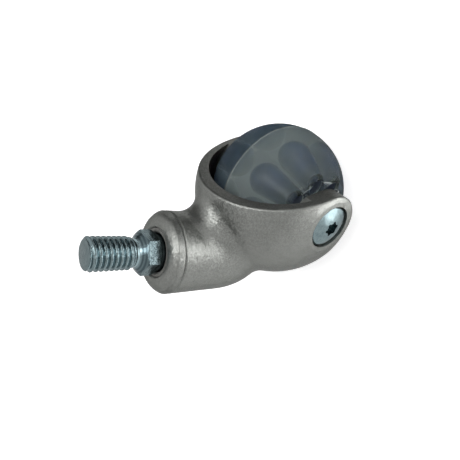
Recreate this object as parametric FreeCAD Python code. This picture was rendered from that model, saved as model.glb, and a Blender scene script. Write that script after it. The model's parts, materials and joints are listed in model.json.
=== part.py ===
import FreeCAD, Part
import math
import os

# Swivel castor with a hooded fork, a ball wheel and a threaded stem.
# The stem axis is Z, and the origin is on it, where the full thread begins.

# Threaded stem
THREAD_RADIUS = 4.95
THREAD_LENGTH = 12.9
THREAD_CHAMFER = 0.7
RELIEF_DEPTH = 0.7
RELIEF_LENGTH = 0.6
SHOULDER_HEIGHT = 1.2
HEX_FLATS = 12.0
HEX_HEIGHT = 5.2
HEX_TURN_DEG = 33.0
HEX_CHAMFER_DEG = 35.0
HEX_FACE_INSET = 0.5
COLLAR_RADIUS = 5.7
JOURNAL_RADIUS = 5.0
PILOT_RADIUS = 4.0
CIRCLIP_DEPTH = 0.4
CIRCLIP_THICKNESS = 1.0
CIRCLIP_WIDTH = 1.5
CIRCLIP_OPENING_DEG = 50.0
LAND_LENGTH = 1.2

# Swivel bearing
RING_THICKNESS = 1.3
RACE_GAP = 1.9
BALL_SINK = 0.25
BALL_COUNT = 9
CAGE_WEB = 0.4
SHIELD_THICKNESS = 0.3
BUSH_WALL = 1.5
BUSH_LENGTH = 6.0
FLANGE_THICKNESS = 1.0
FLANGE_WIDTH = 1.7

# Barrel and its nose cap
BARREL_RADIUS = 12.8
BARREL_STRAIGHT = 18.2
BARREL_TIP_INSET = 3.1
NOSE_HOLE_RADIUS = 7.5
NOSE_HOLE_CHAMFER = 0.4
CAP_HEIGHT = 3.4
CAP_FACE_WIDTH = 0.3
CAP_SPIGOT = 3.2
JOINT_CHAMFER = 0.5
JOINT_LIP = 0.6
SEAL_HEIGHT = 1.6
SEAL_SINK = 2.6

# Ball wheel
WHEEL_RADIUS = 22.0
WHEEL_HALF_WIDTH = 17.7
WHEEL_EDGE_ROUND = 0.6
RIDGE_HALF_WIDTH = 1.0
RIDGE_HEIGHT = 0.15
POCKET_COUNT = 8
POCKET_PHASE_DEG = 23.5
POCKET_MOUTH_RADIUS = 2.9
POCKET_MOUTH_PITCH = 9.2
POCKET_END_RADIUS = 4.6
POCKET_END_PITCH = 13.4
POCKET_WEB = 2.4

# Hub and axle
AXLE_RADIUS = 4.0
HUB_BUSH_WALL = 1.2
HUB_BUSH_LENGTH = 9.0
HUB_FLANGE_THICKNESS = 1.0
HUB_FLANGE_WIDTH = 1.0
WASHER_THICKNESS = 0.5
WASHER_RADIUS = 7.5
HEAD_RADIUS = 6.7
HEAD_HEIGHT = 3.5
HEAD_BEVEL = 0.4
HEAD_DOME = 1.3
HEAD_PROUD = 0.9
SCREW_RADIUS = 2.5
SCREW_LENGTH = 14.0
SCREW_POINT = 0.6
RECESS_RADIUS = 2.45
RECESS_LOBE_RADIUS = 0.55
RECESS_DEPTH = 2.0

# Fork
TRAIL = 24.6
HOOD_WALL = 3.3
LUG_RADIUS = 10.0
LUG_THICKNESS = 5.9
LUG_FLAT_RADIUS = 8.5
BOSS_RADIUS = 11.5
BOSS_HEIGHT = 2.3
RIM_TILT_DEG = 25.5
RIM_ROUND = 0.9
BLEND_RADIUS = 6.2
BORE_FLOOR = 2.1

# Clearances
WHEEL_CLEARANCE = 3.2
SIDE_PLAY = 0.2
RUNNING_CLEARANCE = 0.03
SEAT_CLEARANCE = 0.02
BALL_CLEARANCE = 0.1
PART_CLEARANCE = 0.3
CAGE_CLEARANCE = 0.45
NOSE_GAP = 0.2
HEAD_CLEARANCE = 0.35
END_GAP = 0.4
BLIND_GAP = 0.6

# Bearing sizes worked out from the sizes above
BEARING_RADIUS = JOURNAL_RADIUS + 2 * RING_THICKNESS + RACE_GAP
BALL_PITCH = JOURNAL_RADIUS + RING_THICKNESS + RACE_GAP / 2
BALL_RADIUS = RACE_GAP / 2 + BALL_SINK
CAGE_THICKNESS = RACE_GAP - 2 * CAGE_CLEARANCE
CAGE_HEIGHT = 2 * (BALL_RADIUS + BALL_CLEARANCE + CAGE_WEB)
BEARING_WIDTH = CAGE_HEIGHT + 2 * (CAGE_CLEARANCE + SHIELD_THICKNESS)

# Heights down the stem, worked out from the sizes above
RELIEF_TOP = -RELIEF_DEPTH
RELIEF_BOTTOM = RELIEF_TOP - RELIEF_LENGTH
HEX_TOP = RELIEF_BOTTOM - SHOULDER_HEIGHT
HEX_BOTTOM = HEX_TOP - HEX_HEIGHT
NOSE_TOP = HEX_BOTTOM - NOSE_GAP
CAP_JOINT = NOSE_TOP - CAP_HEIGHT
BEARING_TOP = CAP_JOINT - CAP_SPIGOT
BEARING_BOTTOM = BEARING_TOP - BEARING_WIDTH
LAND_BOTTOM = BEARING_BOTTOM - CIRCLIP_THICKNESS - LAND_LENGTH
BUSH_TOP = LAND_BOTTOM - END_GAP
BUSH_SEAT = BUSH_TOP - FLANGE_THICKNESS
BUSH_BOTTOM = BUSH_SEAT - BUSH_LENGTH
BORE_BOTTOM = BUSH_BOTTOM - BLIND_GAP

# Radii and widths worked out from the sizes above
BUSH_RADIUS = PILOT_RADIUS + RUNNING_CLEARANCE + BUSH_WALL
CAVITY_RADIUS = WHEEL_RADIUS + WHEEL_CLEARANCE
CROWN_RADIUS = CAVITY_RADIUS + HOOD_WALL
LUG_INNER = WHEEL_HALF_WIDTH + HUB_FLANGE_THICKNESS + WASHER_THICKNESS + SIDE_PLAY
LUG_OUTER = LUG_INNER + LUG_THICKNESS
CAVITY_HALF_WIDTH = LUG_INNER + BOSS_HEIGHT
COUNTERBORE_FLOOR = LUG_OUTER + HEAD_PROUD - HEAD_HEIGHT
AXLE_DROP = math.sqrt(CAVITY_RADIUS ** 2 - (TRAIL - BUSH_RADIUS) ** 2)
AXLE = FreeCAD.Vector(TRAIL, 0, BORE_BOTTOM - BORE_FLOOR - AXLE_DROP)

ORIGIN = FreeCAD.Vector(0, 0, 0)
X_AXIS = FreeCAD.Vector(1, 0, 0)
Z_AXIS = FreeCAD.Vector(0, 0, 1)
FAR = 4 * CROWN_RADIUS
NUDGE = 1.0
NEAR = 0.01


def flat_face(path):
    """Closed face in the XZ plane from (x, z) points; a pair of points is an arc through both."""
    def place(point):
        return FreeCAD.Vector(point[0], 0, point[1])

    edges = []
    here = path[0]
    for step in path[1:] + [path[0]]:
        if isinstance(step[0], tuple):
            edges.append(Part.Arc(place(here), place(step[0]), place(step[1])).toShape())
            here = step[1]
        elif step != here:
            edges.append(Part.makeLine(place(here), place(step)))
            here = step
    return Part.Face(Part.Wire(edges))


def turned(path):
    """Solid of revolution about Z from (radius, height) points."""
    return flat_face(path).revolve(ORIGIN, Z_AXIS, 360)


def ring(inner, outer, bottom, top):
    """Plain ring about Z."""
    return turned([(inner, bottom), (outer, bottom), (outer, top), (inner, top)])


def on_axle(shape, side=1):
    """Carry a piece made about Z to the axle, its +Z end to the far side (1) or the near side (-1)."""
    moved = shape.copy()
    moved.rotate(ORIGIN, X_AXIS, -90 * side)
    moved.translate(AXLE)
    return moved


def around(shape, axis, count, phase=0.0):
    """Copies of a shape, evenly spaced round an axis through the origin."""
    copies = []
    for index in range(count):
        copy = shape.copy()
        copy.rotate(ORIGIN, axis, phase + index * 360.0 / count)
        copies.append(copy)
    return copies


def arc_point(centre_r, centre_z, radius, degrees):
    """Point on an arc, by its angle from the outward direction."""
    angle = math.radians(degrees)
    return (centre_r + radius * math.cos(angle), centre_z + radius * math.sin(angle))


def threaded_stem():
    """Stud, hexagon and swivel shank in one turned piece."""
    groove_radius = JOURNAL_RADIUS - CIRCLIP_DEPTH
    relief_radius = THREAD_RADIUS - RELIEF_DEPTH
    groove_bottom = BEARING_BOTTOM - CIRCLIP_THICKNESS
    corner = HEX_FLATS / math.sqrt(3)
    face_radius = HEX_FLATS / 2 - HEX_FACE_INSET
    shank = turned([
        (0, THREAD_LENGTH),
        (THREAD_RADIUS - THREAD_CHAMFER, THREAD_LENGTH),
        (THREAD_RADIUS, THREAD_LENGTH - THREAD_CHAMFER),
        (THREAD_RADIUS, 0),
        (relief_radius, RELIEF_TOP),
        (relief_radius, RELIEF_BOTTOM),
        (face_radius, HEX_TOP),
        (face_radius, HEX_BOTTOM),
        (COLLAR_RADIUS, HEX_BOTTOM),
        (COLLAR_RADIUS, BEARING_TOP),
        (JOURNAL_RADIUS, BEARING_TOP),
        (JOURNAL_RADIUS, BEARING_BOTTOM),
        (groove_radius, BEARING_BOTTOM),
        (groove_radius, groove_bottom),
        (JOURNAL_RADIUS, groove_bottom),
        (JOURNAL_RADIUS, LAND_BOTTOM),
        (PILOT_RADIUS, LAND_BOTTOM),
        (PILOT_RADIUS, BUSH_BOTTOM),
        (0, BUSH_BOTTOM),
    ])
    slope = (corner - face_radius) * math.tan(math.radians(HEX_CHAMFER_DEG))
    cone = turned([
        (0, HEX_TOP), (face_radius, HEX_TOP), (corner, HEX_TOP - slope),
        (corner, HEX_BOTTOM + slope), (face_radius, HEX_BOTTOM), (0, HEX_BOTTOM),
    ])
    corners = []
    for index in range(7):
        angle = math.radians(HEX_TURN_DEG + 60 * index)
        corners.append(FreeCAD.Vector(corner * math.cos(angle), corner * math.sin(angle), HEX_BOTTOM))
    prism = Part.Face(Part.makePolygon(corners)).extrude(FreeCAD.Vector(0, 0, HEX_HEIGHT))
    return shank.fuse(prism.common(cone)).removeSplitter()


def stem_circlip():
    """Open retaining ring in the stem's groove, under the bearing's inner ring."""
    inner = JOURNAL_RADIUS - CIRCLIP_DEPTH
    outer = inner + CIRCLIP_WIDTH
    whole = ring(inner, outer, BEARING_BOTTOM - CIRCLIP_THICKNESS, BEARING_BOTTOM)
    half = math.radians(CIRCLIP_OPENING_DEG / 2)
    reach = 2 * outer
    wedge = Part.makePolygon([
        ORIGIN,
        FreeCAD.Vector(reach * math.cos(half), reach * math.sin(half), 0),
        FreeCAD.Vector(reach * math.cos(half), -reach * math.sin(half), 0),
        ORIGIN,
    ])
    gap = Part.Face(wedge).extrude(FreeCAD.Vector(0, 0, -FAR))
    return whole.cut(gap)


def race_groove():
    """Ring cut that the balls run in, on both bearing rings."""
    height = (BEARING_TOP + BEARING_BOTTOM) / 2
    return Part.makeTorus(BALL_PITCH, BALL_RADIUS + BALL_CLEARANCE, FreeCAD.Vector(0, 0, height), Z_AXIS)


def bearing_inner_ring():
    blank = ring(JOURNAL_RADIUS, JOURNAL_RADIUS + RING_THICKNESS, BEARING_BOTTOM, BEARING_TOP)
    return blank.cut(race_groove())


def bearing_outer_ring():
    blank = ring(BEARING_RADIUS - RING_THICKNESS, BEARING_RADIUS, BEARING_BOTTOM, BEARING_TOP)
    return blank.cut(race_groove())


def bearing_balls():
    """The loose balls, as one set."""
    height = (BEARING_TOP + BEARING_BOTTOM) / 2
    ball = Part.makeSphere(BALL_RADIUS, FreeCAD.Vector(BALL_PITCH, 0, height))
    return Part.makeCompound(around(ball, Z_AXIS, BALL_COUNT, 180.0 / BALL_COUNT))


def bearing_cage():
    """Ring with a round window for each ball."""
    middle = (BEARING_TOP + BEARING_BOTTOM) / 2
    band = ring(BALL_PITCH - CAGE_THICKNESS / 2, BALL_PITCH + CAGE_THICKNESS / 2,
                middle - CAGE_HEIGHT / 2, middle + CAGE_HEIGHT / 2)
    centre = FreeCAD.Vector(0, 0, middle)
    window = Part.makeCylinder(BALL_RADIUS + BALL_CLEARANCE, BEARING_RADIUS, centre, X_AXIS)
    return band.cut(around(window, Z_AXIS, BALL_COUNT, 180.0 / BALL_COUNT))


def bearing_shield(top):
    """Thin ring pressed into the outer ring, clear of the inner one."""
    inner = JOURNAL_RADIUS + RING_THICKNESS + PART_CLEARANCE
    return ring(inner, BEARING_RADIUS - RING_THICKNESS, top - SHIELD_THICKNESS, top)


def lower_bush():
    """Flanged plain bearing for the stem's pilot."""
    bore = PILOT_RADIUS + RUNNING_CLEARANCE
    return turned([
        (bore, BUSH_BOTTOM), (BUSH_RADIUS, BUSH_BOTTOM), (BUSH_RADIUS, BUSH_SEAT),
        (BUSH_RADIUS + FLANGE_WIDTH, BUSH_SEAT), (BUSH_RADIUS + FLANGE_WIDTH, BUSH_TOP), (bore, BUSH_TOP),
    ])


def nose_cap():
    """Rounded barrel end, with a spigot that holds the bearing down."""
    spigot_bore = BEARING_RADIUS - RING_THICKNESS
    face_edge = NOSE_HOLE_RADIUS + NOSE_HOLE_CHAMFER + CAP_FACE_WIDTH
    round_width = BARREL_RADIUS - face_edge
    round_height = CAP_HEIGHT - JOINT_LIP
    cap_round = (round_width ** 2 + round_height ** 2) / (2 * round_height)
    return turned([
        (NOSE_HOLE_RADIUS, NOSE_TOP - NOSE_HOLE_CHAMFER),
        (NOSE_HOLE_RADIUS + NOSE_HOLE_CHAMFER, NOSE_TOP),
        (face_edge, NOSE_TOP),
        (arc_point(face_edge, NOSE_TOP - cap_round, cap_round, 45),
         (BARREL_RADIUS, CAP_JOINT + JOINT_LIP)),
        (arc_point(BARREL_RADIUS - JOINT_LIP, CAP_JOINT + JOINT_LIP, JOINT_LIP, -45),
         (BARREL_RADIUS - JOINT_LIP, CAP_JOINT)),
        (BEARING_RADIUS - SEAT_CLEARANCE, CAP_JOINT),
        (BEARING_RADIUS - SEAT_CLEARANCE, BEARING_TOP),
        (spigot_bore, BEARING_TOP),
        (spigot_bore, NOSE_TOP - SEAL_SINK - SEAL_HEIGHT),
        (NOSE_HOLE_RADIUS, NOSE_TOP - SEAL_SINK - SEAL_HEIGHT),
    ])


def dust_seal():
    """Rubber ring in the nose hole, with a lip towards the stem."""
    top = NOSE_TOP - SEAL_SINK
    lip = COLLAR_RADIUS + PART_CLEARANCE
    return turned([
        (lip, top - SEAL_HEIGHT / 2), (lip + SEAL_HEIGHT / 2, top - SEAL_HEIGHT),
        (NOSE_HOLE_RADIUS, top - SEAL_HEIGHT), (NOSE_HOLE_RADIUS, top), (lip + SEAL_HEIGHT / 4, top),
    ])


def barrel():
    """Outside of the swivel barrel: straight, then drawn in by a long curve to a point inside the hood."""
    taper_top = CAP_JOINT - BARREL_STRAIGHT
    tip = AXLE.z - LUG_RADIUS + BARREL_TIP_INSET
    drop = taper_top - tip
    taper_radius = (BARREL_RADIUS ** 2 + drop ** 2) / (2 * BARREL_RADIUS)
    end = -math.degrees(math.asin(drop / taper_radius))
    middle = arc_point(BARREL_RADIUS - taper_radius, taper_top, taper_radius, end / 2)
    return turned([
        (0, CAP_JOINT),
        (BARREL_RADIUS - JOINT_CHAMFER, CAP_JOINT),
        (BARREL_RADIUS, CAP_JOINT - JOINT_CHAMFER),
        (BARREL_RADIUS, taper_top),
        (middle, (0, tip)),
    ])


def crown_arc(crown, edge_radius, half_width):
    """Centre and radius of the arc from the crown to the side's edge, centred on the middle plane."""
    centre = (crown ** 2 - edge_radius ** 2 - half_width ** 2) / (2 * (crown - edge_radius))
    return centre, crown - centre


def domed_drum(crown, edge_radius, half_width):
    """Body of revolution about the axle, crowned in the middle and flat at its two sides."""
    return on_axle(turned([
        (0, -half_width), (edge_radius, -half_width),
        ((crown, 0), (edge_radius, half_width)), (0, half_width),
    ]))


def side_outline():
    """Slab that trims the hood: the tilted rim, the lug's round end and the level lower edge."""
    tilt = math.radians(RIM_TILT_DEG)
    rim_end = (AXLE.x + LUG_RADIUS * math.cos(tilt), AXLE.z + LUG_RADIUS * math.sin(tilt))
    rim_far = (rim_end[0] - FAR * math.sin(tilt), rim_end[1] + FAR * math.cos(tilt))
    half = (tilt - math.pi / 2) / 2
    middle = (AXLE.x + LUG_RADIUS * math.cos(half), AXLE.z + LUG_RADIUS * math.sin(half))
    low = AXLE.z - LUG_RADIUS
    face = flat_face([rim_end, rim_far, (-FAR, rim_far[1]), (-FAR, low), (AXLE.x, low), (middle, rim_end)])
    face.translate(FreeCAD.Vector(0, -FAR, 0))
    return face.extrude(FreeCAD.Vector(0, 2 * FAR, 0))


def crown_gap(point, crown, edge_radius, half_width):
    """How far a point lies from a drum's crowned surface."""
    centre, radius = crown_arc(crown, edge_radius, half_width)
    reach = math.hypot(point.x - AXLE.x, point.z - AXLE.z)
    return abs(math.hypot(reach - centre, point.y) - radius)


def trim_gap(point):
    """How far a point lies from the rim, the lug's round end or the lower edge."""
    tilt = math.radians(RIM_TILT_DEG)
    x = point.x - AXLE.x
    z = point.z - AXLE.z
    rim = abs(x * math.cos(tilt) + z * math.sin(tilt) - LUG_RADIUS)
    end = abs(math.hypot(x, z) - LUG_RADIUS)
    low = abs(z + LUG_RADIUS)
    return min(rim, end, low)


def middle_of(edge):
    return edge.valueAt((edge.FirstParameter + edge.LastParameter) / 2)


def fork_housing():
    """Casting: hood round the wheel, two lugs and the swivel barrel, blended into one."""
    hood = domed_drum(CROWN_RADIUS, LUG_FLAT_RADIUS, LUG_OUTER).common(side_outline())
    body = hood.fuse(barrel()).removeSplitter()
    joins = []
    for edge in body.Edges:
        point = middle_of(edge)
        on_hood = crown_gap(point, CROWN_RADIUS, LUG_FLAT_RADIUS, LUG_OUTER) < NEAR
        if on_hood and trim_gap(point) > NEAR and abs(point.y) < BARREL_RADIUS + NEAR:
            joins.append(edge)
    body = body.makeFillet(BLEND_RADIUS, joins)
    cavity = domed_drum(CAVITY_RADIUS, BOSS_RADIUS, CAVITY_HALF_WIDTH)
    for side in (-1, 1):
        boss = Part.makeCylinder(BOSS_RADIUS, FAR, FreeCAD.Vector(0, 0, LUG_INNER))
        cavity = cavity.cut(on_axle(boss, side))
    body = body.cut(cavity)
    rims = []
    for edge in body.Edges:
        point = middle_of(edge)
        if trim_gap(point) > NEAR:
            continue
        if crown_gap(point, CROWN_RADIUS, LUG_FLAT_RADIUS, LUG_OUTER) < NEAR:
            rims.append(edge)
    body = body.makeFillet(RIM_ROUND, rims)
    bore = turned([
        (0, CAP_JOINT + NUDGE), (BEARING_RADIUS, CAP_JOINT + NUDGE), (BEARING_RADIUS, BEARING_BOTTOM),
        (BUSH_RADIUS + FLANGE_WIDTH + PART_CLEARANCE, BEARING_BOTTOM),
        (BUSH_RADIUS + FLANGE_WIDTH + PART_CLEARANCE, BUSH_SEAT),
        (BUSH_RADIUS, BUSH_SEAT), (BUSH_RADIUS, BORE_BOTTOM), (0, BORE_BOTTOM),
    ])
    body = body.cut(bore)
    for side in (-1, 1):
        hole = turned([
            (0, LUG_INNER - NUDGE), (AXLE_RADIUS + RUNNING_CLEARANCE, LUG_INNER - NUDGE),
            (AXLE_RADIUS + RUNNING_CLEARANCE, COUNTERBORE_FLOOR),
            (HEAD_RADIUS + HEAD_CLEARANCE, COUNTERBORE_FLOOR),
            (HEAD_RADIUS + HEAD_CLEARANCE, LUG_OUTER + NUDGE), (0, LUG_OUTER + NUDGE),
        ])
        body = body.cut(on_axle(hole, side))
    return body


def six_lobe_recess(top):
    """Star-shaped driver socket, from the head's top inwards."""
    floor = FreeCAD.Vector(0, 0, top - RECESS_DEPTH)
    socket = Part.makeCylinder(RECESS_RADIUS - RECESS_LOBE_RADIUS, FAR, floor)
    lobe_place = floor + X_AXIS * (RECESS_RADIUS - RECESS_LOBE_RADIUS)
    lobe = Part.makeCylinder(RECESS_LOBE_RADIUS, FAR, lobe_place)
    return socket.fuse(around(lobe, Z_AXIS, 6))


def head_outline(top):
    """Upper outline of a low domed head with a bevelled rim, from its centre outwards."""
    edge = HEAD_RADIUS - HEAD_BEVEL
    rim_top = top - HEAD_DOME
    shoulder = (edge / 2, top - HEAD_DOME / 4)
    return [(0, top), (shoulder, (edge, rim_top)), (HEAD_RADIUS, rim_top - HEAD_BEVEL)]


def axle_screw():
    """Near head, with a short screw into the sleeve."""
    top = COUNTERBORE_FLOOR + HEAD_HEIGHT
    tip = COUNTERBORE_FLOOR - SCREW_LENGTH
    blank = turned(head_outline(top) + [
        (HEAD_RADIUS, COUNTERBORE_FLOOR), (SCREW_RADIUS, COUNTERBORE_FLOOR),
        (SCREW_RADIUS, tip + SCREW_POINT), (SCREW_RADIUS - SCREW_POINT, tip), (0, tip),
    ])
    return on_axle(blank.cut(six_lobe_recess(top)), -1)


def axle_sleeve():
    """Far head, with the plain shaft that the wheel turns on, bored for the screw."""
    top = COUNTERBORE_FLOOR + HEAD_HEIGHT
    near_end = -(COUNTERBORE_FLOOR - END_GAP)
    blank = turned(head_outline(top) + [
        (HEAD_RADIUS, COUNTERBORE_FLOOR), (AXLE_RADIUS, COUNTERBORE_FLOOR),
        (AXLE_RADIUS, near_end), (0, near_end),
    ])
    bore_depth = SCREW_LENGTH + BLIND_GAP
    bore = Part.makeCylinder(SCREW_RADIUS + SEAT_CLEARANCE, bore_depth, FreeCAD.Vector(0, 0, near_end))
    return on_axle(blank.cut(bore).cut(six_lobe_recess(top)))


def thrust_washer(side):
    """Ring on the lug's inner face."""
    bore = AXLE_RADIUS + PART_CLEARANCE
    return on_axle(ring(bore, WASHER_RADIUS, LUG_INNER - WASHER_THICKNESS, LUG_INNER), side)


def hub_bush(side):
    """Flanged plain bearing pressed into one side of the wheel."""
    bore = AXLE_RADIUS + RUNNING_CLEARANCE
    outer = bore + HUB_BUSH_WALL
    face = WHEEL_HALF_WIDTH
    return on_axle(turned([
        (bore, face - HUB_BUSH_LENGTH), (outer, face - HUB_BUSH_LENGTH), (outer, face),
        (outer + HUB_FLANGE_WIDTH, face), (outer + HUB_FLANGE_WIDTH, face + HUB_FLANGE_THICKNESS),
        (bore, face + HUB_FLANGE_THICKNESS),
    ]), side)


def pocket():
    """Round-ended hollow that widens from its mouth on the +Z side face towards the wheel's middle."""
    end = FreeCAD.Vector(POCKET_END_PITCH, 0, POCKET_WEB / 2 + POCKET_END_RADIUS)
    mouth = FreeCAD.Vector(POCKET_MOUTH_PITCH, 0, WHEEL_HALF_WIDTH)
    run = mouth - end
    slope = (POCKET_MOUTH_RADIUS - POCKET_END_RADIUS) / run.Length
    length = run.Length + POCKET_MOUTH_RADIUS
    neck = Part.makeCone(POCKET_END_RADIUS, POCKET_END_RADIUS + slope * length, length, end, run)
    return neck.fuse(Part.makeSphere(POCKET_END_RADIUS, end))


def ball_wheel():
    """One moulding: a ball with flat sides, a parting ridge, a hub bore and pockets round each side."""
    bore = AXLE_RADIUS + RUNNING_CLEARANCE + HUB_BUSH_WALL
    face = WHEEL_HALF_WIDTH
    face_radius = math.sqrt(WHEEL_RADIUS ** 2 - face ** 2)
    shoulder = math.sqrt(WHEEL_RADIUS ** 2 - RIDGE_HALF_WIDTH ** 2)
    crest = WHEEL_RADIUS + RIDGE_HEIGHT
    bow = (face + RIDGE_HALF_WIDTH) / 2
    bow_radius = math.sqrt(WHEEL_RADIUS ** 2 - bow ** 2)
    blank = turned([
        (bore, -face), (face_radius, -face),
        ((bow_radius, -bow), (shoulder, -RIDGE_HALF_WIDTH)),
        ((crest, 0), (shoulder, RIDGE_HALF_WIDTH)),
        ((bow_radius, bow), (face_radius, face)),
        (bore, face),
    ])
    side_edges = []
    for edge in blank.Edges:
        point = middle_of(edge)
        if abs(abs(point.z) - face) < NEAR and math.hypot(point.x, point.y) > bore + NUDGE:
            side_edges.append(edge)
    blank = blank.makeFillet(WHEEL_EDGE_ROUND, side_edges)
    hollows = around(pocket(), Z_AXIS, POCKET_COUNT, -POCKET_PHASE_DEG)
    mirrored = [hollow.mirror(ORIGIN, Z_AXIS) for hollow in hollows]
    return on_axle(blank.cut(hollows + mirrored))


NODES = {
    "threaded_stem": threaded_stem(),
    "stem_circlip": stem_circlip(),
    "bearing_inner_ring": bearing_inner_ring(),
    "bearing_outer_ring": bearing_outer_ring(),
    "bearing_balls": bearing_balls(),
    "bearing_cage": bearing_cage(),
    "upper_bearing_shield": bearing_shield(BEARING_TOP),
    "lower_bearing_shield": bearing_shield(BEARING_BOTTOM + SHIELD_THICKNESS),
    "lower_bush": lower_bush(),
    "nose_cap": nose_cap(),
    "dust_seal": dust_seal(),
    "fork_housing": fork_housing(),
    "axle_screw": axle_screw(),
    "axle_sleeve": axle_sleeve(),
    "near_thrust_washer": thrust_washer(-1),
    "far_thrust_washer": thrust_washer(1),
    "near_hub_bush": hub_bush(-1),
    "far_hub_bush": hub_bush(1),
    "ball_wheel": ball_wheel(),
}

os.makedirs("parts", exist_ok=True)
for name, shape in NODES.items():
    shape.exportStep("parts/" + name + ".step")
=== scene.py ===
import json
import math

import bpy
import numpy as np
from mathutils import Matrix, Vector


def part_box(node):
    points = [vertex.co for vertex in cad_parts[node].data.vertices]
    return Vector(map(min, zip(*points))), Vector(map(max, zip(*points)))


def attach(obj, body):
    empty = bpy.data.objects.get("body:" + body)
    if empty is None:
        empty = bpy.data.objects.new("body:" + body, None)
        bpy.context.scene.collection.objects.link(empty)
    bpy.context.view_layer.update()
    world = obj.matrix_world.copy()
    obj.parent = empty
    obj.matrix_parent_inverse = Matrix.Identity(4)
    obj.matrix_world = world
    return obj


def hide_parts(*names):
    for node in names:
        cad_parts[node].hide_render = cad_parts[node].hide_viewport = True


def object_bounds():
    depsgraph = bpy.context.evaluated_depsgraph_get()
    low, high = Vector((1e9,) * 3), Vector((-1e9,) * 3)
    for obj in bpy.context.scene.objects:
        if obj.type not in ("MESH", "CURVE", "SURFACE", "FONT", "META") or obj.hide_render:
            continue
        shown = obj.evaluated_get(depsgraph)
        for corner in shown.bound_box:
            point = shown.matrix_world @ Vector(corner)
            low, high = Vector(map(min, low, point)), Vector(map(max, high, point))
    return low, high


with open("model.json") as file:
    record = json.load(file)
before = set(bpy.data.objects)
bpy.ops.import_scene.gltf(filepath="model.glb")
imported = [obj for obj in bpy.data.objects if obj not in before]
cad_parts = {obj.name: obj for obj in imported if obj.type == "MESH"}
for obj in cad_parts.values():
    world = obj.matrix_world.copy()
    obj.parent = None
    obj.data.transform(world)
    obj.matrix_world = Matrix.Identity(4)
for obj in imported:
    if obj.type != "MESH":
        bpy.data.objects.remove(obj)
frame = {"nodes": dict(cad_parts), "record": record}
cad_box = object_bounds()

# Sizes of the stem, in millimetres
MM = 0.001
THREAD_RADIUS = 4.95
THREAD_DEPTH = 0.9
THREAD_PITCH = 1.5
THREAD_CHAMFER = 0.7
END_FACE_INSET = 0.15
RELIEF_RADIUS = 4.25
RELIEF_TOP = -0.7
RELIEF_BOTTOM = -1.3
HEX_TOP = -2.5
HEX_BOTTOM = -7.7
HEX_FLATS = 12.0
HEX_TURN = math.radians(33.0)
HEX_CHAMFER = math.radians(35.0)
HEX_FACE_RADIUS = 5.5
COLLAR_RADIUS = 5.7
COLLAR_BOTTOM = -14.5
JOURNAL_RADIUS = 5.0
GROOVE_RADIUS = 4.6
GROOVE_TOP = -19.4
GROOVE_BOTTOM = -20.4
LAND_BOTTOM = -21.6
PILOT_RADIUS = 4.0

# Shares of the thread's half turn that are root and flank; the rest is crest
ROOT_SHARE = 0.10
FLANK_SHARE = 0.80

# Fineness of the stem's mesh, and the angle from which its edges are sharp
STEM_SIDES = 192
THREAD_ROWS = 20
STEM_SHARP = math.radians(12)

# Dust seal, in millimetres: its lip's radius and lift off the bottom, the height of its face, and the points
# of the face's edges, each as steps in from the rim, or out from the lip, and down from the face
SEAL_LIP = 5.85
SEAL_LIP_LIFT = 0.2
SEAL_FACE = -8.25
SEAL_RIM_STEPS = ((0.0, 0.45), (0.12, 0.15), (0.35, 0.0))
SEAL_LIP_STEPS = ((0.75, 0.10), (0.20, 0.45), (0.0, 1.0))
SEAL_SIDES = 160
SEAL_SHARP = math.radians(50)

# Zones of the stem's finish and painted light, in metres: heights of the thread, the neck and the hexagon's
# flats, the radii over which the painted bounce light in the thread's roots ends, and the pitch of the
# turning marks on the neck
THREAD_ZONE = (-0.0020, 0.0124)
NECK_ZONE = (-0.0034, -0.0003)
FLATS_ZONE = (-0.0068, -0.0036)
ROOT_RADII = (0.00410, 0.00480)
TURNING_PITCH = 0.0007

# Straight land on the cap beside its joint, in metres: its height, the distances over which it fades and its
# least radius; and how far it straightens the normal
CAP_LAND = -0.0101
CAP_LAND_FADE = (0.0006, 0.0008)
CAP_LAND_RADIUS = 0.0112
CAP_LAND_SHARE = 0.9

# Radii in metres over which dust begins on the seal
DUST_RADII = (0.0059, 0.0064)

# Ball wheel, in metres: the reach of its hollows and how they open, its sides, the painted highlight ring on
# them and its seam, beside which lie painted shade and painted highlight lines
HOLLOW_REACH = 0.0210
HOLLOW_FADE = (HOLLOW_REACH - 0.0001, HOLLOW_REACH)
MOUTH_SPAN = (0.0115, 0.0145)
WHEEL_SIDE = 0.0165
SIDE_SKIN = (WHEEL_SIDE - 0.0010, WHEEL_SIDE - 0.0003)
SIDE_FACE = WHEEL_SIDE - 0.0002
SIDE_RING = 0.0114
SIDE_RING_WIDTH = 0.0005
SEAM_EDGE = 0.0010
SEAM_FADE = 0.0003
SEAM_STEP = 0.0005
SEAM_WIDTH = 0.0004

# Shares of the wheel's frosted skin over its clear body: plain, on the painted shade and highlight lines of
# the seam, on the painted highlight ring among them and on the flat of the sides
SKIN_SHARE = 0.10
LINE_SHARE = 0.65
RING_SHARE = 0.6
FLAT_SHARE = 0.7
SMOKY_IOR = 1.48

# Shading: the range that most noise falls in, how far roughness drifts, the depth of fine grain in metres,
# and the planes across the stem and the axle
NOISE_RANGE = (0.3, 0.7)
ROUGHNESS_DRIFT = 0.15
GRAIN_DEPTH = 0.0001
ACROSS_STEM = (1, 1, 0)
ACROSS_AXLE = (1, 0, 1)

# Metallic paint: its flakes' scale and lean, and how much its tone drifts beside the flakes' own
FLAKE_SCALE = 3300.0
FLAKE_LEAN = 0.12
TONE_DRIFT = 0.4

# Camera: its place, a point it looks at and its near limit in metres, its upward direction, and its lens and
# sensor in millimetres
CAMERA_PLACE = Vector((0.05869, -0.08445, 0.04923))
CAMERA_TARGET = Vector((0.00718, 0.00165, -0.03598))
CAMERA_UP = Vector((0.8533, 0.5213, 0.0109))
CAMERA_LENS = 29.96
CAMERA_SENSOR = 36
CAMERA_NEAR = 0.001
CAMERA_BACK = (CAMERA_PLACE - CAMERA_TARGET).normalized()
CAMERA_RIGHT = CAMERA_UP.cross(CAMERA_BACK).normalized()

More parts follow.
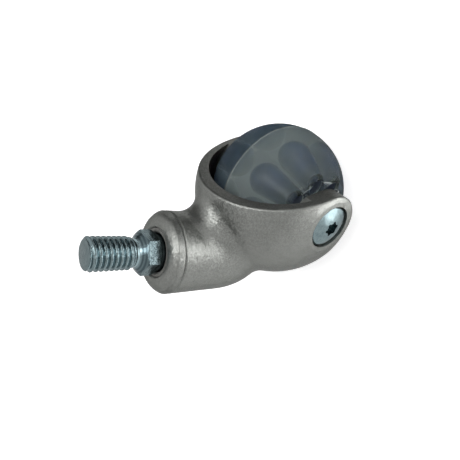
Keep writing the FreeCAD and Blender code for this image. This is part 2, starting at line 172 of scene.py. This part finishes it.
# Studio, in metres: the middle of the part, which the lamps face, where the floor's beams come from, the
# cards' places and the floor's reach; and how bright the floor and the room are
MIDDLE = Vector((0.010, 0, -0.030))
BEAM_PLACE = Vector((0.10, -0.15, 0.25))
BEAM_BLEND = 0.7
UPPER_CARD_PLACE = MIDDLE - 0.06 * CAMERA_BACK
LOW_CARD_PLACE = Vector((0.112, 0.025, -0.0693))
FLOOR_REACH = 3.0
FLOOR_SHADE = 0.85
FLOOR_LIFT = 0.65
ROOM_LIGHT = 0.5
ROOM_SHOWN = 1.0


def grey(value):
    return (value, value, value)


class Shading:
    """Node material with short makers for nodes and links."""

    def __init__(self, name):
        self.material = bpy.data.materials.new(name)
        self.material.use_nodes = True
        self.tree = self.material.node_tree
        self.tree.nodes.clear()
        self.output = self.node("OutputMaterial")
        self.place = self.node("TexCoord").outputs["Object"]

    def node(self, kind, **values):
        """New node; values are its settings or, with spaces as underscores, its inputs."""
        made = self.tree.nodes.new("ShaderNode" + kind)
        for key, value in values.items():
            if hasattr(made, key):
                setattr(made, key, value)
            else:
                self.feed(made.inputs[key.replace("_", " ")], value)
        return made

    def feed(self, socket, value):
        """Set an input to a value, or link an output to it."""
        if isinstance(value, bpy.types.NodeSocket):
            self.tree.links.new(value, socket)
        else:
            socket.default_value = value

    def noise(self, scale, detail=3.0, **values):
        return self.node("TexNoise", Vector=self.place, Scale=scale, Detail=detail, **values).outputs["Fac"]

    def part(self, vector, axis):
        """One axis of a vector."""
        return self.node("SeparateXYZ", Vector=vector).outputs[axis]

    def math(self, operation, first, second=0.0):
        made = self.node("Math", operation=operation)
        self.feed(made.inputs[0], first)
        self.feed(made.inputs[1], second)
        return made.outputs[0]

    def vector(self, operation, *values):
        """Result of an operation on vectors."""
        made = self.node("VectorMath", operation=operation)
        for socket, value in zip(made.inputs, values):
            self.feed(socket, value)
        return made.outputs["Value" if operation == "LENGTH" else "Vector"]

    def product(self, first, second):
        return self.math("MULTIPLY", first, second)

    def most(self, first, *others):
        """Greatest of several values."""
        for other in others:
            first = self.math("MAXIMUM", first, other)
        return first

    def away(self, value, middle):
        """Distance of a value from a middle."""
        return self.math("ABSOLUTE", self.math("SUBTRACT", value, middle))

    def reach(self, vector, plane):
        """Length of a vector in a plane."""
        return self.vector("LENGTH", self.vector("MULTIPLY", vector, plane))

    def span(self, value, low, high, source=NOISE_RANGE):
        """Carry a value's range over to another range."""
        made = self.node("MapRange", Value=value, To_Min=low, To_Max=high)
        made.inputs["From Min"].default_value, made.inputs["From Max"].default_value = source
        return made.outputs["Result"]

    def within(self, value, low, high):
        """One where a value lies between two limits, else nought."""
        return self.product(self.math("GREATER_THAN", value, low), self.math("LESS_THAN", value, high))

    def band(self, value, middle, width):
        """One where a value is at the middle of a band, falling to nought at its edges."""
        return self.span(self.away(value, middle), 1.0, 0.0, (0.0, width))

    def ramp(self, value, low, high, source=NOISE_RANGE):
        """Colour that goes from one to another over a value's range."""
        made = self.node("ValToRGB", Fac=value)
        for element, place, colour in zip(made.color_ramp.elements, source, (low, high)):
            element.position = place
            element.color = (*colour, 1)
        return made.outputs["Color"]

    def tint(self, share, low, high):
        """Colour between two colours."""
        made = self.node("Mix", data_type="RGBA")
        self.feed(made.inputs[0], share)
        for socket, colour in zip(made.inputs[6:8], (low, high)):
            self.feed(socket, colour if isinstance(colour, bpy.types.NodeSocket) else (*colour, 1))
        return made.outputs[2]

    def between(self, share, first, second):
        """Vector between two vectors."""
        made = self.node("Mix", data_type="VECTOR")
        self.feed(made.inputs[0], share)
        self.feed(made.inputs[4], first)
        self.feed(made.inputs[5], second)
        return made.outputs[1]

    def mixed(self, share, first, second):
        """Shader between two shaders."""
        made = self.node("MixShader", Fac=share)
        self.feed(made.inputs[1], first.outputs[0])
        self.feed(made.inputs[2], second.outputs[0])
        return made

    def added(self, first, second):
        """Sum of two shaders."""
        made = self.node("AddShader")
        self.feed(made.inputs[0], first.outputs[0])
        self.feed(made.inputs[1], second.outputs[0])
        return made

    def bump(self, height, strength, normal=None):
        made = self.node("Bump", Height=height, Strength=strength, Distance=GRAIN_DEPTH)
        if normal:
            self.feed(made.inputs["Normal"], normal)
        return made.outputs["Normal"]

    def show(self, shader):
        """Make a shader the material's surface."""
        self.feed(self.output.inputs["Surface"], shader.outputs[0])


def plain_surface(name, dark, light, metallic, roughness, patch_scale, grain_scale, grain):
    """Colour and roughness that drift in patches, over a fine grain."""
    shading = Shading(name)
    patches = shading.noise(patch_scale, detail=4.0)
    shading.show(shading.node(
        "BsdfPrincipled",
        Base_Color=shading.ramp(patches, dark, light),
        Metallic=metallic,
        Roughness=shading.span(patches, roughness * (1 - ROUGHNESS_DRIFT), roughness * (1 + ROUGHNESS_DRIFT)),
        Normal=shading.bump(shading.noise(grain_scale), grain),
    ))
    return shading.material


def cap_land(shading, normal):
    """Normal that points straight out on the cap's land, and is the given one elsewhere."""
    outwards = shading.vector("MULTIPLY", shading.place, ACROSS_STEM)
    straight = shading.node("VectorTransform", Vector=outwards, vector_type="NORMAL",
                            convert_from="OBJECT", convert_to="WORLD").outputs["Vector"]
    height = shading.away(shading.part(shading.place, "Z"), CAP_LAND)
    land = shading.product(
        shading.math("GREATER_THAN", shading.vector("LENGTH", outwards), CAP_LAND_RADIUS),
        shading.span(height, CAP_LAND_SHARE, 0.0, CAP_LAND_FADE))
    return shading.between(land, normal, straight)


def silver_paint():
    """Satin metallic paint: fine flakes that each lean a little, over a slight orange peel."""
    dark, light = (0.155, 0.160, 0.151), (0.222, 0.228, 0.216)
    shading = Shading("silver_paint")
    flakes = shading.node("TexVoronoi", Vector=shading.place, Scale=FLAKE_SCALE).outputs["Color"]
    lean = shading.vector("MULTIPLY_ADD", flakes, grey(2 * FLAKE_LEAN), grey(-FLAKE_LEAN))
    peel = shading.bump(shading.noise(scale=900.0), strength=0.05)
    patches = shading.noise(scale=250.0, detail=4.0)
    sparkle = shading.math("ADD", shading.span(patches, 0.0, TONE_DRIFT),
                           shading.node("SeparateColor", Color=flakes).outputs["Red"])
    shading.show(shading.node(
        "BsdfPrincipled",
        Base_Color=shading.ramp(shading.product(sparkle, 1 / (1 + TONE_DRIFT)), dark, light, (0.0, 1.0)),
        Metallic=0.9,
        Specular_Tint=(0.35, 0.35, 0.35, 1),
        Roughness=shading.span(patches, 0.33, 0.39),
        Normal=shading.vector("NORMALIZE", shading.vector("ADD", lean, cap_land(shading, peel))),
    ))
    return shading.material


def zinc_plate():
    """Bright zinc with a blue cast: spangled and pitted on the hexagon, with painted bounce light lightening
    the thread's roots.
    """
    dark, light = (0.095, 0.130, 0.138), (0.175, 0.225, 0.235)
    pitted, turned, painted_root_light = (0.045, 0.062, 0.067), (0.050, 0.072, 0.082), (0.24, 0.31, 0.33)
    shading = Shading("zinc_plate")
    height = shading.part(shading.place, "Z")
    patches = shading.noise(scale=700.0, detail=4.0, Roughness=0.65)
    spangles = shading.node("TexVoronoi", Vector=shading.place, Scale=1600.0,
                            feature="SMOOTH_F1").outputs["Distance"]
    pits = shading.span(shading.noise(scale=3000.0, detail=1.0), 0.0, 0.9, (0.46, 0.56))
    wave = shading.math("SINE", shading.product(height, 2 * math.pi / TURNING_PITCH))
    marks = shading.span(wave, 0.35, 1.0, (-0.8, 0.8))
    # Painted bounce light: the thread's roots are lightened towards the axis, as light from the neighbouring
    # turns would.
    roots = shading.span(shading.reach(shading.place, ACROSS_STEM), 1.0, 0.0, ROOT_RADII)
    zones = ((FLATS_ZONE, pits, pitted), (NECK_ZONE, marks, turned), (THREAD_ZONE, roots, painted_root_light))
    plate = shading.ramp(patches, dark, light)
    for zone, share, colour in zones:
        plate = shading.tint(shading.product(shading.within(height, *zone), share), plate, colour)
    shading.show(shading.node(
        "BsdfPrincipled",
        Base_Color=plate,
        Metallic=1.0,
        Specular_Tint=(0.65, 0.65, 0.65, 1),
        Roughness=shading.span(patches, 0.14, 0.26),
        Normal=shading.bump(shading.noise(scale=3000.0), strength=0.10,
                            normal=shading.bump(spangles, strength=0.45)),
    ))
    return shading.material


def wheel_marks(shading):
    """Shares of the wheel's surface, by place."""
    low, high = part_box("ball_wheel")
    offset = shading.vector("SUBTRACT", shading.place, (low + high) / 2)
    along = shading.part(offset, "Y")
    aside = shading.math("ABSOLUTE", along)
    across = shading.reach(offset, ACROSS_AXLE)
    side = shading.math("GREATER_THAN", aside, SIDE_FACE)
    skin = shading.span(shading.vector("LENGTH", offset), 0.0, 1.0, HOLLOW_FADE)
    return {
        "outside": shading.most(skin, shading.span(aside, 0.0, 1.0, SIDE_SKIN)),
        "mouth": shading.span(aside, 0.0, 1.0, MOUTH_SPAN),
        "far": shading.span(along, 0.0, 1.0, (SEAM_EDGE, SEAM_EDGE + SEAM_FADE)),
        "groove": shading.band(along, SEAM_EDGE, SEAM_WIDTH),
        "seam_highlight": shading.band(along, SEAM_EDGE - SEAM_STEP, SEAM_WIDTH),
        # Painted highlight: a thin ring on the flat of each side.
        "ring": shading.product(side, shading.band(across, SIDE_RING, SIDE_RING_WIDTH)),
        "flat": shading.product(side, shading.math("LESS_THAN", across, SIDE_RING)),
    }


def smoky_skin(shading, marks):
    """Frosted skin: pale outside, darker on the far half, with painted shade and painted highlight lines at
    the seam and a painted highlight ring on the sides; painted shade in the hollows.
    """
    hollow_shade_deep, hollow_shade_pale, mouth = (0.008, 0.018, 0.055), (0.018, 0.040, 0.105), (0.040, 0.052, 0.072)
    pale_dark, pale_light, far = (0.09, 0.105, 0.105), (0.12, 0.14, 0.138), (0.040, 0.055, 0.070)
    groove, seam_highlight = (0.01, 0.015, 0.02), (0.30, 0.33, 0.32)
    clouds = shading.noise(scale=120.0, detail=4.0)
    # Painted shade: the hollows' walls are coloured dark blue for the shade seen in them, paler where they
    # open on the sides.
    hollow_shade = shading.ramp(clouds, hollow_shade_deep, hollow_shade_pale, (0.35, 0.65))
    hollow_shade = shading.tint(marks["mouth"], hollow_shade, mouth)
    outer = shading.ramp(clouds, pale_dark, pale_light)
    outer = shading.tint(shading.most(marks["far"], marks["flat"]), outer, far)
    # Painted shade: a dark line along the far edge of the seam's step.
    outer = shading.tint(marks["groove"], outer, groove)
    # Painted highlight: a pale line beside the seam's step and on the ring of the sides.
    outer = shading.tint(shading.most(marks["seam_highlight"], marks["ring"]), outer, seam_highlight)
    return shading.node(
        "BsdfPrincipled",
        Base_Color=shading.tint(marks["outside"], hollow_shade, outer),
        Roughness=shading.span(clouds, 0.36, 0.44),
        IOR=SMOKY_IOR,
        Normal=shading.bump(shading.noise(scale=2500.0), strength=0.05),
    )


def smoky_plastic():
    """Cloudy cast polyurethane: a thin frosted skin over a body that scatters light and lets lamps in."""
    near, far = (0.95, 1.0, 0.98), (0.40, 0.48, 0.55)
    shading = Shading("smoky_polyurethane")
    marks = wheel_marks(shading)
    painted_lines = shading.most(marks["groove"], marks["seam_highlight"], shading.product(marks["ring"], RING_SHARE))
    cover = shading.most(
        shading.span(marks["outside"], 1.0, SKIN_SHARE, (0.0, 1.0)),
        shading.product(painted_lines, LINE_SHARE),
        shading.product(marks["flat"], FLAT_SHARE))
    clear = shading.node("BsdfRefraction", Color=shading.tint(marks["far"], near, far),
                         Roughness=0.03, IOR=SMOKY_IOR)
    body = shading.mixed(cover, clear, smoky_skin(shading, marks))
    lamps = shading.node("LightPath").outputs["Is Shadow Ray"]
    shading.show(shading.mixed(lamps, body, shading.node("BsdfTransparent", Color=(1, 1, 1, 1))))
    absorb = shading.node("VolumeAbsorption", Color=(0.2, 0.45, 0.6, 1), Density=28.0)
    scatter = shading.node("VolumeScatter", Color=(0.85, 1.0, 0.93, 1), Density=70.0, Anisotropy=-0.6)
    shading.feed(shading.output.inputs["Volume"], shading.added(absorb, scatter).outputs[0])
    return shading.material


def dusty_rubber():
    """Matt black rubber with dust on its outer face."""
    clean, dusty = grey(0.012), (0.16, 0.16, 0.15)
    shading = Shading("black_rubber")
    dust = shading.product(shading.span(shading.reach(shading.place, ACROSS_STEM), 0.0, 1.0, DUST_RADII),
                           shading.span(shading.noise(scale=900.0, detail=4.0), 0.7, 1.0))
    shading.show(shading.node(
        "BsdfPrincipled",
        Base_Color=shading.tint(dust, clean, dusty),
        Roughness=shading.span(dust, 0.55, 0.8, (0.0, 1.0)),
        Normal=shading.bump(shading.noise(scale=6000.0), strength=0.4),
    ))
    return shading.material


MATERIALS = {
    "silver_paint": silver_paint(),
    "zinc_plate": zinc_plate(),
    "smoky_polyurethane": smoky_plastic(),
    "black_rubber": dusty_rubber(),
    "bearing_steel": plain_surface(
        "bearing_steel", dark=grey(0.42), light=grey(0.55), metallic=1.0, roughness=0.2,
        patch_scale=500.0, grain_scale=5000.0, grain=0.1),
    "spring_steel": plain_surface(
        "spring_steel", dark=grey(0.06), light=grey(0.11), metallic=0.9, roughness=0.4,
        patch_scale=700.0, grain_scale=5000.0, grain=0.2),
    "bush_plastic": plain_surface(
        "bush_plastic", dark=(0.55, 0.54, 0.48), light=(0.66, 0.64, 0.58), metallic=0.0, roughness=0.45,
        patch_scale=500.0, grain_scale=4000.0, grain=0.2),
}


def dress_frame():
    """Give every CAD node the material of its slot."""
    for entry in frame["record"]["subparts"]:
        node = frame["nodes"][entry["node"]]
        node.data.materials.clear()
        node.data.materials.append(MATERIALS[entry["material_slot"]])


def add_mesh(name, points, faces):
    """New mesh object in the scene."""
    mesh = bpy.data.meshes.new(name)
    mesh.from_pydata(points, [], faces)
    piece = bpy.data.objects.new(name, mesh)
    bpy.context.scene.collection.objects.link(piece)
    return piece


def ring_mesh(name, rows, filled, sharp):
    """Smooth mesh from closed rows of points in millimetres; the end rows are filled, or joined."""
    points = np.concatenate(rows) * MM
    size = len(rows[0])
    faces = []
    for row in range(len(rows) - 1 if filled else len(rows)):
        start = row * size
        above = (row + 1) % len(rows) * size
        for column in range(size):
            after = (column + 1) % size
            faces.append((start + column, start + after, above + after, above + column))
    if filled:
        faces.append(tuple(range(size - 1, -1, -1)))
        last = (len(rows) - 1) * size
        faces.append(tuple(range(last, last + size)))
    piece = add_mesh(name, [tuple(point) for point in points], faces)
    piece.data.polygons.foreach_set("use_smooth", [True] * len(faces))
    piece.data.validate()
    piece.data.set_sharp_from_angle(angle=sharp)
    return piece


def angles(count):
    return np.linspace(0, 2 * math.pi, count, endpoint=False)


def ring(radius, height, turns):
    """Row of points round the stem's axis; radius and height may change along it."""
    return np.stack(np.broadcast_arrays(radius * np.cos(turns), radius * np.sin(turns), height), -1)


def thread_radius(height, top, turns):
    """Radius of the thread at a height: rounded turns that rise from the relief and end in a chamfer."""
    wave = np.abs(((height / THREAD_PITCH - turns / (2 * math.pi)) % 1.0) * 2 - 1)
    profile = np.clip((wave - ROOT_SHARE) / FLANK_SHARE, 0, 1)
    profile = profile * profile * (3 - 2 * profile)
    radius = THREAD_RADIUS - THREAD_DEPTH * (1 - profile)
    rise = np.clip((height - RELIEF_TOP) / THREAD_PITCH, 0, 1)
    radius = RELIEF_RADIUS + (radius - RELIEF_RADIUS) * rise
    return np.minimum(radius, THREAD_RADIUS - THREAD_CHAMFER + (top - height))


def stem_piece():
    """Stem with its real helical thread, chamfered hexagon and plain shank."""
    low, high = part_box("threaded_stem")
    top = high.z / MM
    bottom = low.z / MM
    turns = angles(STEM_SIDES)
    shank = [(PILOT_RADIUS, bottom), (PILOT_RADIUS, LAND_BOTTOM), (JOURNAL_RADIUS, LAND_BOTTOM),
             (JOURNAL_RADIUS, GROOVE_BOTTOM), (GROOVE_RADIUS, GROOVE_BOTTOM), (GROOVE_RADIUS, GROOVE_TOP),
             (JOURNAL_RADIUS, GROOVE_TOP), (JOURNAL_RADIUS, COLLAR_BOTTOM), (COLLAR_RADIUS, COLLAR_BOTTOM),
             (COLLAR_RADIUS, HEX_BOTTOM)]
    rows = [ring(radius, height, turns) for radius, height in shank]
    hexagon = (HEX_FLATS / 2) / np.cos((turns - HEX_TURN) % (math.pi / 3) - math.pi / 6)
    drop = np.maximum(hexagon - HEX_FACE_RADIUS, 0) * math.tan(HEX_CHAMFER)
    rows += [ring(hexagon, HEX_BOTTOM + drop, turns), ring(hexagon, HEX_TOP - drop, turns),
             ring(HEX_FACE_RADIUS, HEX_TOP, turns), ring(RELIEF_RADIUS, RELIEF_BOTTOM, turns)]
    for height in np.arange(RELIEF_TOP, top, THREAD_PITCH / THREAD_ROWS):
        rows.append(ring(thread_radius(height, top, turns), height, turns))
    rows.append(ring(THREAD_RADIUS - THREAD_CHAMFER - END_FACE_INSET, top, turns))
    piece = ring_mesh("stem_with_thread", rows, True, STEM_SHARP)
    piece.data.materials.append(MATERIALS["zinc_plate"])
    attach(piece, "stem")
    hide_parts("threaded_stem")


def seal_piece():
    """Dust seal whose soft face fills the nose hole nearly to its top, with a fine gap round it."""
    low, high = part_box("dust_seal")
    rim = high.x / MM
    bottom = low.z / MM
    profile = [(SEAL_LIP, bottom + SEAL_LIP_LIFT), (rim, bottom)]
    profile += [(rim - inwards, SEAL_FACE - down) for inwards, down in SEAL_RIM_STEPS]
    profile += [(SEAL_LIP + outwards, SEAL_FACE - down) for outwards, down in SEAL_LIP_STEPS]
    rows = [ring(radius, height, angles(SEAL_SIDES)) for radius, height in profile]
    piece = ring_mesh("seal_with_face", rows, False, SEAL_SHARP)
    piece.data.materials.append(MATERIALS["black_rubber"])
    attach(piece, "fork")
    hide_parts("dust_seal")


def square(name, half):
    """Flat square mesh object at the origin."""
    corners = [(-half, -half, 0), (half, -half, 0), (half, half, 0), (-half, half, 0)]
    return add_mesh(name, corners, [(0, 1, 2, 3)])


def shown_rays(tree):
    """One for rays that the camera, gloss or clear material sends, else nought."""
    path = tree.nodes.new("ShaderNodeLightPath")
    total = path.outputs["Is Camera Ray"]
    for name in ("Is Glossy Ray", "Is Transmission Ray"):
        step = tree.nodes.new("ShaderNodeMath")
        step.operation = "MAXIMUM"
        tree.links.new(total, step.inputs[0])
        tree.links.new(path.outputs[name], step.inputs[1])
        total = step.outputs[0]
    return total


def floor():
    """Pale floor under the wheel, lifted to white where it is seen but still taking the shadow."""
    piece = square("floor", FLOOR_REACH)
    piece.location.z = cad_box[0].z
    shading = Shading("pale_floor")
    lift = shading.product(shown_rays(shading.tree), FLOOR_LIFT)
    pale = shading.node("BsdfDiffuse", Color=(*grey(FLOOR_SHADE), 1))
    shading.show(shading.added(pale, shading.node("Emission", Strength=lift)))
    piece.data.materials.append(shading.material)


def surround():
    """Plain white room, softer as a light than as a background."""
    world = bpy.data.worlds.new("surround")
    bpy.context.scene.world = world
    world.use_nodes = True
    tree = world.node_tree
    tree.nodes.clear()
    output = tree.nodes.new("ShaderNodeOutputWorld")
    mix = tree.nodes.new("ShaderNodeMixShader")
    tree.links.new(shown_rays(tree), mix.inputs["Fac"])
    for socket, strength in zip(mix.inputs[1:], (ROOM_LIGHT, ROOM_SHOWN)):
        background = tree.nodes.new("ShaderNodeBackground")
        background.inputs["Color"].default_value = (1, 1, 1, 1)
        background.inputs["Strength"].default_value = strength
        tree.links.new(background.outputs[0], socket)
    tree.links.new(mix.outputs[0], output.inputs["Surface"])


def add_lamp(name, kind, power):
    """New lamp in the scene."""
    data = bpy.data.lights.new(name, kind)
    data.energy = power
    lamp = bpy.data.objects.new(name, data)
    bpy.context.scene.collection.objects.link(lamp)
    return lamp


def softbox(name, place, size, power):
    """Area light that faces the part, with its width across the picture."""
    lamp = add_lamp(name, "AREA", power)
    lamp.data.shape = "RECTANGLE"
    lamp.data.size, lamp.data.size_y = size
    back = (place - MIDDLE).normalized()
    up = back.cross(CAMERA_RIGHT).normalized()
    turn = Matrix((up.cross(back), up, back)).transposed()
    lamp.matrix_world = Matrix.Translation(place) @ turn.to_4x4()


def floor_light(name, target, spread, power):
    """Narrow beam on the floor beside the part, whose bounce draws a bright line along round metal."""
    lamp = add_lamp(name, "SPOT", power)
    lamp.data.spot_size = math.radians(spread)
    lamp.data.spot_blend = BEAM_BLEND
    lamp.location = BEAM_PLACE
    lamp.rotation_euler = (target - BEAM_PLACE).to_track_quat("-Z", "Y").to_euler()


def card(name, place, facing, size):
    """Plain dark card that faces a point, which metal reflects and the camera doesn't see."""
    piece = square(name, size / 2)
    turn = (facing - place).to_track_quat("-Z", "Y")
    piece.matrix_world = Matrix.Translation(place) @ turn.to_matrix().to_4x4()
    piece.visible_camera = False
    piece.visible_shadow = False
    piece.visible_transmission = False
    piece.visible_diffuse = False
    piece.visible_volume_scatter = False
    piece.data.materials.append(plain_surface(
        name, dark=grey(0.108), light=grey(0.132), metallic=0.0, roughness=0.9,
        patch_scale=20.0, grain_scale=400.0, grain=0.1))


def camera():
    """Camera that sees the part as the photograph does."""
    data = bpy.data.cameras.new("camera")
    data.sensor_width = CAMERA_SENSOR
    data.lens = CAMERA_LENS
    data.clip_start = CAMERA_NEAR
    piece = bpy.data.objects.new("camera", data)
    bpy.context.scene.collection.objects.link(piece)
    turn = Matrix((CAMERA_RIGHT, CAMERA_BACK.cross(CAMERA_RIGHT), CAMERA_BACK)).transposed()
    piece.matrix_world = Matrix.Translation(CAMERA_PLACE) @ turn.to_4x4()
    bpy.context.scene.camera = piece


def studio():
    """Floor, room, camera, lamps and cards."""
    floor()
    surround()
    camera()
    softbox("top_softbox", place=MIDDLE + 0.38 * CAMERA_BACK - 0.30 * CAMERA_RIGHT + 0.07 * CAMERA_UP,
            size=(0.40, 0.16), power=1.15)
    softbox("rim_softbox", place=MIDDLE + Vector((0.28, -0.19, 0.295)), size=(0.14, 0.10), power=0.18)
    floor_light("barrel_beam", target=Vector((0.056, -0.066, -0.070)), spread=14, power=26.0)
    floor_light("stem_beam", target=Vector((0.050, -0.168, -0.070)), spread=8, power=80.0)
    card("upper_card", place=UPPER_CARD_PLACE + 0.20 * CAMERA_UP, facing=UPPER_CARD_PLACE, size=0.42)
    card("low_card", place=LOW_CARD_PLACE, facing=Vector((LOW_CARD_PLACE.x, LOW_CARD_PLACE.y, 0)), size=0.11)


bpy.context.scene.view_settings.view_transform = "Standard"
dress_frame()
stem_piece()
seal_piece()
studio()
